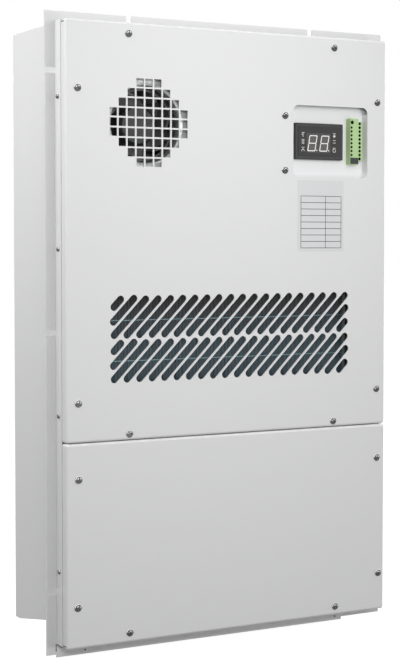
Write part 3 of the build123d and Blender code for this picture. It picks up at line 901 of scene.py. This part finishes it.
@dataclass
class CoverGapShade(Assembly):
    """A dark strip behind the gap between the covers and the housing: painted shade that darkens
    that seam.
    """

    half_width: float = 229.4
    half_height: float = 374.4
    strip: float = 3.5
    front_y: float = -20.45
    depth: float = 1.1

    def build(self) -> None:
        """Makes the strip as one flat frame."""
        outer, inner = (
            rectangle(inset - self.half_width, self.half_width - inset,
                      inset - self.half_height, self.half_height - inset, self.front_y)
            for inset in (0.0, self.strip)
        )
        shape = bmesh.new()
        framed(shape, outer, inner, self.depth)
        self.add("cover_gap_painted_shade", shape, DARK_SEAM)


@dataclass
class WindowRim(Assembly):
    """The folded rim behind the sides and the foot of the controller window."""

    edges: Quad = (87.0, 201.2, 194.6, 286.2)
    corner: float = 8.0
    sheet: float = 1.0
    front_y: float = -30.99
    back_y: float = -20.05
    steps: int = 8

    def build(self) -> None:
        """Makes the rim as one strip with round lower corners, open at the top."""
        left, right, low, high = self.edges
        inner, outer = (
            rounded(left - wider, right + wider, low - wider, high, self.front_y,
                    self.corner + wider, self.steps)
            for wider in (0.0, self.sheet)
        )
        foot, head = self.steps + 2, 3 * self.steps + 2
        inner, outer = inner[head:] + inner[:foot], outer[head:] + outer[:foot]
        shape = bmesh.new()
        slab(shape, inner + outer[::-1], self.back_y - self.front_y)
        self.add("window_rim", shape, INNER)


@dataclass
class CornerSeams(Assembly):
    """Dark seams where the folded sheets meet, and dark discs as painted shade in two holes."""

    wall_x: float = 230.0
    wall_low: float = 375.0
    wall_depths: Pair = (-19.2, -1.6)
    cover_relief: float = 371.7
    cover_depths: Pair = (-29.6, -20.6)
    flange_y: float = -1.5
    flange_low: float = 383.0
    width: float = 1.1
    rise: float = 0.06
    holes: tuple[Pair, ...] = ((-192.0, -385.5), (173.0, -385.5))
    hole_radius: float = 1.0
    hole_sides: int = 16

    def build(self) -> None:
        """Makes the seams and the painted shade of the holes."""
        seams = bmesh.new()
        half = self.width / 2
        front = self.flange_y - self.rise
        for side in (-1, 1):
            for z, (near, far) in (
                (half - self.wall_low, self.wall_depths), (-self.cover_relief, self.cover_depths),
                (self.cover_relief, self.cover_depths),
            ):
                x = side * (self.wall_x + self.rise)
                outline = [local(x, near, z - half), local(x, far, z - half),
                           local(x, far, z + half), local(x, near, z + half)]
                prism(seams, outline, Vector((-side * self.rise * MM, 0.0, 0.0)))
            x = side * (self.wall_x + half)
            outline = rectangle(x - half, x + half, -self.flange_low, -self.wall_low, front)
            slab(seams, outline, self.rise)
        self.add("corner_seams", seams, DARK_SEAM)
        # Dark discs over the two holes: painted shade.
        holes = bmesh.new()
        for x, z in self.holes:
            slab(holes, circle(x, front, z, self.hole_radius, self.hole_sides), self.rise)
        self.add("flange_hole_painted_shade", holes, HOLE_SHADE)


@dataclass
class CoilFront(Assembly):
    """Fine fins of both coils and pale seams across the front one."""

    half_width: float = 174.0
    low: float = -79.0
    high: float = 69.0
    face_y: float = -14.5
    rear_face_y: float = 127.0
    pitch: float = 2.0
    thickness: float = 0.6
    proud: float = 2.4
    bend: float = 0.25
    seams: Pair = (16.5, -33.0)
    seam_half: float = 0.5
    seam_rise: float = 0.5

    def build(self) -> None:
        """Makes the fins of both coils and the seams of the front one."""
        tree = fin_tree()
        middle = (self.low + self.high) / 2
        for name, y in (
            ("front_fin_row", self.face_y - self.proud / 2),
            ("rear_fin_row", self.rear_face_y + self.proud / 2),
        ):
            self.grow(name, [local(-self.half_width, y, middle)], tree, COIL, {
                "Count": int(2 * self.half_width / self.pitch), "Pitch": self.pitch * MM,
                "Fin Thickness": self.thickness * MM, "Fin Depth": self.proud * MM,
                "Fin Height": (self.high - self.low) * MM, "Bend Amount": self.bend * MM,
                "Seed": 11,
            })
        shape = bmesh.new()
        half, depth = self.seam_half, self.proud + self.seam_rise
        for z in self.seams:
            outline = rectangle(
                -self.half_width, self.half_width, z - half, z + half, self.face_y - depth
            )
            slab(shape, outline, depth)
        self.add("coil_seams", shape, COIL_LINE)


@dataclass
class NamePlate(Assembly):
    """A bare plate with an empty ruled table."""

    plate: Quad = (93.4, 163.8, 99.6, 190.9)
    corner: float = 1.5
    face_y: float = -32.5
    plate_rise: float = 0.15
    plate_sheet: float = 0.14
    line_rise: float = 0.17
    line_sheet: float = 0.02
    table_left: float = 98.5
    table_right: float = 160.0
    table_low: float = 104.2
    rows: int = 8
    row_height: float = 8.3
    divider: float = 136.0
    line: float = 0.75

    def build(self) -> None:
        """Makes the plate and its ruling."""
        shape = bmesh.new()
        outline = rounded(*self.plate, self.face_y - self.plate_rise, self.corner)
        slab(shape, outline, self.plate_sheet)
        self.add("name_plate", shape, PLATE)
        half = self.line / 2
        levels = [self.table_low + row * self.row_height for row in range(self.rows + 1)]
        bars = [(self.table_left - half, self.table_right + half, z - half, z + half)
                for z in levels]
        bars += [(x - half, x + half, z + half, z + self.row_height - half)
                 for x in (self.table_left, self.divider, self.table_right)
                 for z in levels[:-1]]
        shape = bmesh.new()
        for bar in bars:
            slab(shape, rectangle(*bar, self.face_y - self.line_rise), self.line_sheet)
        self.add("name_plate_ruling", shape, INK)


# Strokes of the display's six plain signs: middle, length and angle in degrees
SIGNS: tuple[tuple[Quad, ...], ...] = (
    ((0.0, 0.0, 3.4, 90.0), (-0.7, 1.0, 1.8, 45.0)),
    ((0.0, 1.2, 3.0, 0.0), (0.0, 0.0, 3.0, 0.0), (0.0, -1.2, 3.0, 0.0)),
    ((-0.9, 0.0, 3.2, 55.0), (0.9, 0.0, 3.2, 125.0)),
    ((0.0, 0.0, 3.6, 0.0), (0.0, 0.0, 3.6, 90.0), (0.0, 0.0, 2.6, 45.0), (0.0, 0.0, 2.6, 135.0)),
    ((0.0, 0.0, 3.2, 0.0),),
    tuple((1.6 * math.cos(math.radians(turn)), 1.6 * math.sin(math.radians(turn)), 1.4, turn + 90.0)
          for turn in range(0, 360, 45)),
)


@dataclass
class Display(Assembly):
    """Two slanted digits and six small signs on the display's window, their glow painted as a pale
    colour.
    """

    glass_y: float = -27.8
    rise: float = 0.12
    digit_width: float = 12.2
    digit_height: float = 20.6
    stroke: float = 1.15
    corner: float = 1.0
    slant: float = 0.174
    low: float = 228.2
    starts: Pair = (110.9, 129.1)
    dot: tuple[float, float, float] = (14.6, 1.3, 0.85)
    dot_sides: int = 12
    panel: Quad = (110.0, 146.6, 226.2, 251.6)
    panel_rise: float = 0.03
    panel_corner: float = 1.2
    sign_columns: Pair = (104.4, 152.3)
    sign_rows: tuple[float, float, float] = (248.4, 239.6, 229.8)
    sign_scale: float = 1.3
    sign_half: float = 0.27
    sign_bar: Quad = (0.0, 3.2, 4.2, 0.0)

    def build(self) -> None:
        """Makes the panel, the digits, their points and the signs."""
        back, strokes, cores = bmesh.new(), bmesh.new(), bmesh.new()
        outline = rounded(*self.panel, self.glass_y - self.panel_rise, self.panel_corner)
        slab(back, outline, self.panel_rise)
        self.add("display_panel", back, PANEL)
        dot_x, dot_z, dot_radius = self.dot
        front = self.glass_y - self.rise
        for start in self.starts:
            for foot in (0.0, self.digit_height / 2):
                self._loop(strokes, cores, start, foot)
            point = circle(start + dot_x, front, self.low + dot_z, dot_radius, self.dot_sides)
            slab(strokes, point, self.rise)
        places = [(x, z) for x in self.sign_columns for z in self.sign_rows]
        for (x, z), sign in zip(places, SIGNS):
            self._bar(strokes, x, z, self.sign_bar, 1.0)
            for stroke in sign:
                self._bar(strokes, x, z, stroke, self.sign_scale)
        self.add("display_strokes", strokes, DIGIT_GLOW)
        self.add("display_digit_cores", cores, DIGIT_CORE)

    def _loop(self, strokes: Shape, cores: Shape, start: float, low: float) -> None:
        """Adds the lower or the upper loop of a digit, round a darker core.

        Args:
            strokes: The shape of the pale strokes.
            cores: The shape of the cores.
            start: Left edge of the digit.
            low: The loop's lower edge over the digit's foot.
        """
        shares = (0.5, 1.0) if low else (1.0, 0.5)
        foot, head = (share * self.stroke for share in shares)
        width, high = self.digit_width, low + self.digit_height / 2
        outer = self._cut_corners(0.0, width, low, high, self.corner)
        inner = self._cut_corners(
            self.stroke, width - self.stroke, low + foot, high - head, self.corner / 2
        )
        ring = [self._place(start, x, z, self.rise) for x, z in outer]
        framed(strokes, ring, [self._place(start, x, z, self.rise) for x, z in inner], self.rise)
        sunk = self.rise / 2
        slab(cores, [self._place(start, x, z, sunk) for x, z in inner], sunk)

    @staticmethod
    def _cut_corners(left: float, right: float, low: float, high: float,
                     cut: float) -> list[Pair]:
        """Eight corners of a rectangle whose corners are cut off."""
        return [
            (left + cut, low), (right - cut, low), (right, low + cut), (right, high - cut),
            (right - cut, high), (left + cut, high), (left, high - cut), (left, low + cut),
        ]

    def _place(self, start: float, x: float, z: float, rise: float) -> Vector:
        """Puts a digit's corner on the slanted digit on the window."""
        return local(start + x + self.slant * z, self.glass_y - rise, self.low + z)

    def _bar(self, shape: Shape, x: float, z: float, stroke: Quad, scale: float) -> None:
        """Adds a short straight stroke of a sign.

        Args:
            shape: The shape of the strokes.
            x: Middle of the sign.
            z: Height of the sign.
            stroke: The stroke's middle in the sign, its length and its angle.
            scale: Scale of the sign.
        """
        right, up, length, angle = stroke
        turn = math.radians(angle)
        along = Vector((math.cos(turn), math.sin(turn))) * scale * length / 2
        side = Vector((-math.sin(turn), math.cos(turn))) * self.sign_half
        middle = Vector((x + scale * right, z + scale * up))
        corners = (middle + c for c in (-along - side, along - side, along + side, side - along))
        outline = [local(corner.x, self.glass_y - self.rise, corner.y) for corner in corners]
        slab(shape, outline, self.rise)


@dataclass
class TerminalTrim(Assembly):
    """Painted shade in the holes and the clamp screw's opening, ribs and end block of the terminal
    strip.
    """

    pitch: float = 5.08
    plug_x: float = 192.65
    plug_z: float = 243.1
    plug_front: float = -27.0
    poles: int = 10
    wire_radius: float = 2.05
    rib_half: Pair = (4.2, 0.25)
    rib_rise: float = 0.3
    header_front: float = -30.2
    contact_x: float = 177.8
    contact_z: float = 242.7
    contacts: int = 8
    contact_radius: float = 1.6
    screw_x: float = 178.8
    screw_z: float = 267.1
    screw_radius: float = 2.45
    sides: int = 20
    wire_sunk: float = 0.02
    header_rise: float = 0.03
    hole_depth: float = 3.6
    screw_depth: float = 2.6
    block: Quad = (175.9, 188.2, 213.2, 221.4)
    block_rise: float = 0.6
    block_depth: float = 0.7
    block_bevel: float = 0.25

    def build(self) -> None:
        """Makes dark discs as painted shade in the holes, the ribs between them and the end block.
        """
        shade_discs, ribs, block = bmesh.new(), bmesh.new(), bmesh.new()
        half_x, half_z = self.rib_half
        plug, header = self.plug_front + self.wire_sunk, self.header_front - self.header_rise
        round_holes = [
            (self.plug_x, plug, z, self.wire_radius, self.hole_depth)
            for z in self._row(self.plug_z, self.poles)
        ]
        round_holes += [
            (self.contact_x, header, z, self.contact_radius, self.hole_depth)
            for z in self._row(self.contact_z, self.contacts)
        ]
        round_holes.append(
            (self.screw_x, header, self.screw_z, self.screw_radius, self.screw_depth)
        )
        # Near-black discs in the holes: painted shade.
        for x, y, z, radius, depth in round_holes:
            slab(shade_discs, circle(x, y, z, radius, self.sides), depth)
        for z in self._row(self.plug_z, self.poles - 1):
            rib = rectangle(self.plug_x - half_x, self.plug_x + half_x, z - half_z, z + half_z,
                            self.plug_front - self.rib_rise)
            slab(ribs, rib, self.rib_rise)
        self.add("terminal_hole_painted_shade", shade_discs, HOLE_SHADE)
        self.add("plug_ribs", ribs, GREEN)
        outline = rectangle(*self.block, self.header_front - self.block_rise)
        slab(block, outline, self.block_depth)
        self.add("terminal_end_block", block, END_BLOCK, self.block_bevel)

    def _row(self, middle: float, count: int) -> list[float]:
        """Heights of a row at the strip's pitch, from the lowest."""
        return [middle + (number - (count - 1) / 2) * self.pitch for number in range(count)]


# Studio


@dataclass(frozen=True)
class Lamp:
    """A square soft lamp.

    Attributes:
        name: Its name.
        place: Where it hangs.
        target: What it looks at.
        size: Length of its side.
        power: Its power in watts.
    """

    name: str
    place: Point
    target: Point
    size: float
    power: float


LAMPS: tuple[Lamp, ...] = (
    Lamp("upper_front_lamp", (0.05, -0.62, 0.8), (0.03, 0.0, 0.65), 0.35, 1.6),
    Lamp("camera_side_lamp", (-0.98, -1.7, 0.85), (0.0, 0.0, 0.55), 0.25, 5.5),
    Lamp("middle_lamp", (-0.62, -1.5, 0.75), (0.0, 0.0, 0.55), 0.25, 3.8),
    Lamp("low_right_lamp", (0.6, -1.6, 0.1), (0.1, 0.0, 0.1), 0.5, 8.2),
    Lamp("left_side_lamp", (-0.85, 0.0, 1.0), (-0.22, 0.07, 0.65), 0.4, 2.7),
    Lamp("left_rear_lamp", (-1.1, 0.25, 0.8), (-0.22, 0.1, 0.6), 0.5, 2.95),
    Lamp("upper_edge_lamp", (0.1, -0.25, 1.35), (0.1, 0.0, 0.77), 0.5, 0.7),
    Lamp("right_side_lamp", (1.8, 0.35, 0.9), (0.23, 0.07, 0.45), 0.8, 10.0),
    Lamp("rear_lamp", (0.4, 2.1, 0.9), (0.0, 0.145, 0.45), 1.0, 21.0),
)


def aimed(made: bpy.types.Object, place: Point, direction: Vector) -> None:
    """Puts a camera or a lamp in its place and turns it to look along a direction."""
    made.location = place
    made.rotation_mode = "QUATERNION"
    made.rotation_quaternion = direction.to_track_quat("-Z", "Y")


@dataclass
class Studio:
    """Camera, lamps, floor and backdrop, in metres, degrees and pixels of the image."""

    focal_px: float = 1612.3
    long_side_px: float = 667.0
    sensor_mm: float = 36.0
    yaw: float = 29.005
    pitch: float = 2.362
    shift: float = -0.0373
    place: Point = (-1.0148, -1.7747, 0.4986)
    clip: Pair = (0.05, 60.0)
    world_strength: float = 0.3
    floor_z: float = -0.0037
    floor_reach: float = 14.0
    floor_tone: float = 0.2
    floor_roughness: float = 0.9
    floor_glow: float = 0.93

    def build(self) -> None:
        """Makes everything around the object."""
        self._camera()
        self._world()
        self._floor()
        for lamp in LAMPS:
            data = bpy.data.lights.new(lamp.name, "AREA")
            data.size = lamp.size
            data.energy = lamp.power
            direction = Vector(lamp.target) - Vector(lamp.place)
            aimed(placed(lamp.name, data), lamp.place, direction)

    def _camera(self) -> None:
        """Sets the camera at the photograph's angle."""
        data = bpy.data.cameras.new("camera")
        data.sensor_width = self.sensor_mm
        data.lens = self.focal_px / self.long_side_px * self.sensor_mm
        data.shift_y = self.shift
        data.clip_start, data.clip_end = self.clip
        yaw, pitch = math.radians(self.yaw), math.radians(self.pitch)
        level = math.cos(pitch)
        forward = Vector((math.sin(yaw) * level, math.cos(yaw) * level, -math.sin(pitch)))
        bpy.context.scene.camera = placed("camera", data)
        aimed(bpy.context.scene.camera, self.place, forward)

    @staticmethod
    def _looked_at(nodes: Nodes) -> Socket:
        """Gives 1 for rays of the camera, of reflections and through glass, and 0 for light."""
        rays = nodes.node("ShaderNodeLightPath").outputs
        either = nodes.math("MAXIMUM", rays["Is Camera Ray"], rays["Is Glossy Ray"])
        return nodes.math("MAXIMUM", either, rays["Is Transmission Ray"])

    def _world(self) -> None:
        """Makes soft grey light all round, with a white background."""
        world = bpy.data.worlds.new("studio_world")
        bpy.context.scene.world = world
        world.use_nodes = True
        nodes = Nodes(world.node_tree)
        nodes.tree.nodes.clear()
        soft, seen = (
            nodes.node("ShaderNodeBackground", {"Color": WHITE, "Strength": strength}).outputs[0]
            for strength in (self.world_strength, 1.0)
        )
        mix = nodes.node("ShaderNodeMixShader", {0: self._looked_at(nodes), 1: soft, 2: seen})
        nodes.node("ShaderNodeOutputWorld", {"Surface": mix.outputs[0]})

    def _floor(self) -> None:
        """Makes a white floor that keeps a faint shadow."""
        shape = bmesh.new()
        reach = self.floor_reach
        corners = ((-reach, -reach), (reach, -reach), (reach, reach), (-reach, reach))
        shape.faces.new([shape.verts.new((x, y, self.floor_z)) for x, y in corners])
        material = bpy.data.materials.new("studio_floor")
        material.use_nodes = True
        nodes = Nodes(material.node_tree)
        surface = nodes.feed(nodes.tree.nodes["Principled BSDF"], {
            "Base Color": (*[self.floor_tone] * 3, 1.0), "Roughness": self.floor_roughness,
        })
        strength = nodes.math("MULTIPLY", self._looked_at(nodes), self.floor_glow)
        glow = nodes.node("ShaderNodeEmission", {"Strength": strength})
        total = nodes.node("ShaderNodeAddShader", {0: surface.outputs[0], 1: glow.outputs[0]})
        nodes.feed(nodes.tree.nodes["Material Output"], {"Surface": total.outputs[0]})
        piece("floor", shape, material)


def main() -> None:
    """Builds the looks in order."""
    logging.basicConfig(level=logging.INFO, format="%(name)s: %(message)s")
    bpy.context.scene.view_settings.view_transform = "Standard"
    paint = Paint()
    for assembly in (
        SheetMetal, Fasteners, CoverGapShade, WindowRim, CornerSeams, CoilFront, NamePlate, Display,
        TerminalTrim,
    ):
        assembly(paint).build()
        LOG.info("%s done", assembly.__name__)
    Studio().build()


if __name__ == "__main__":
    main()
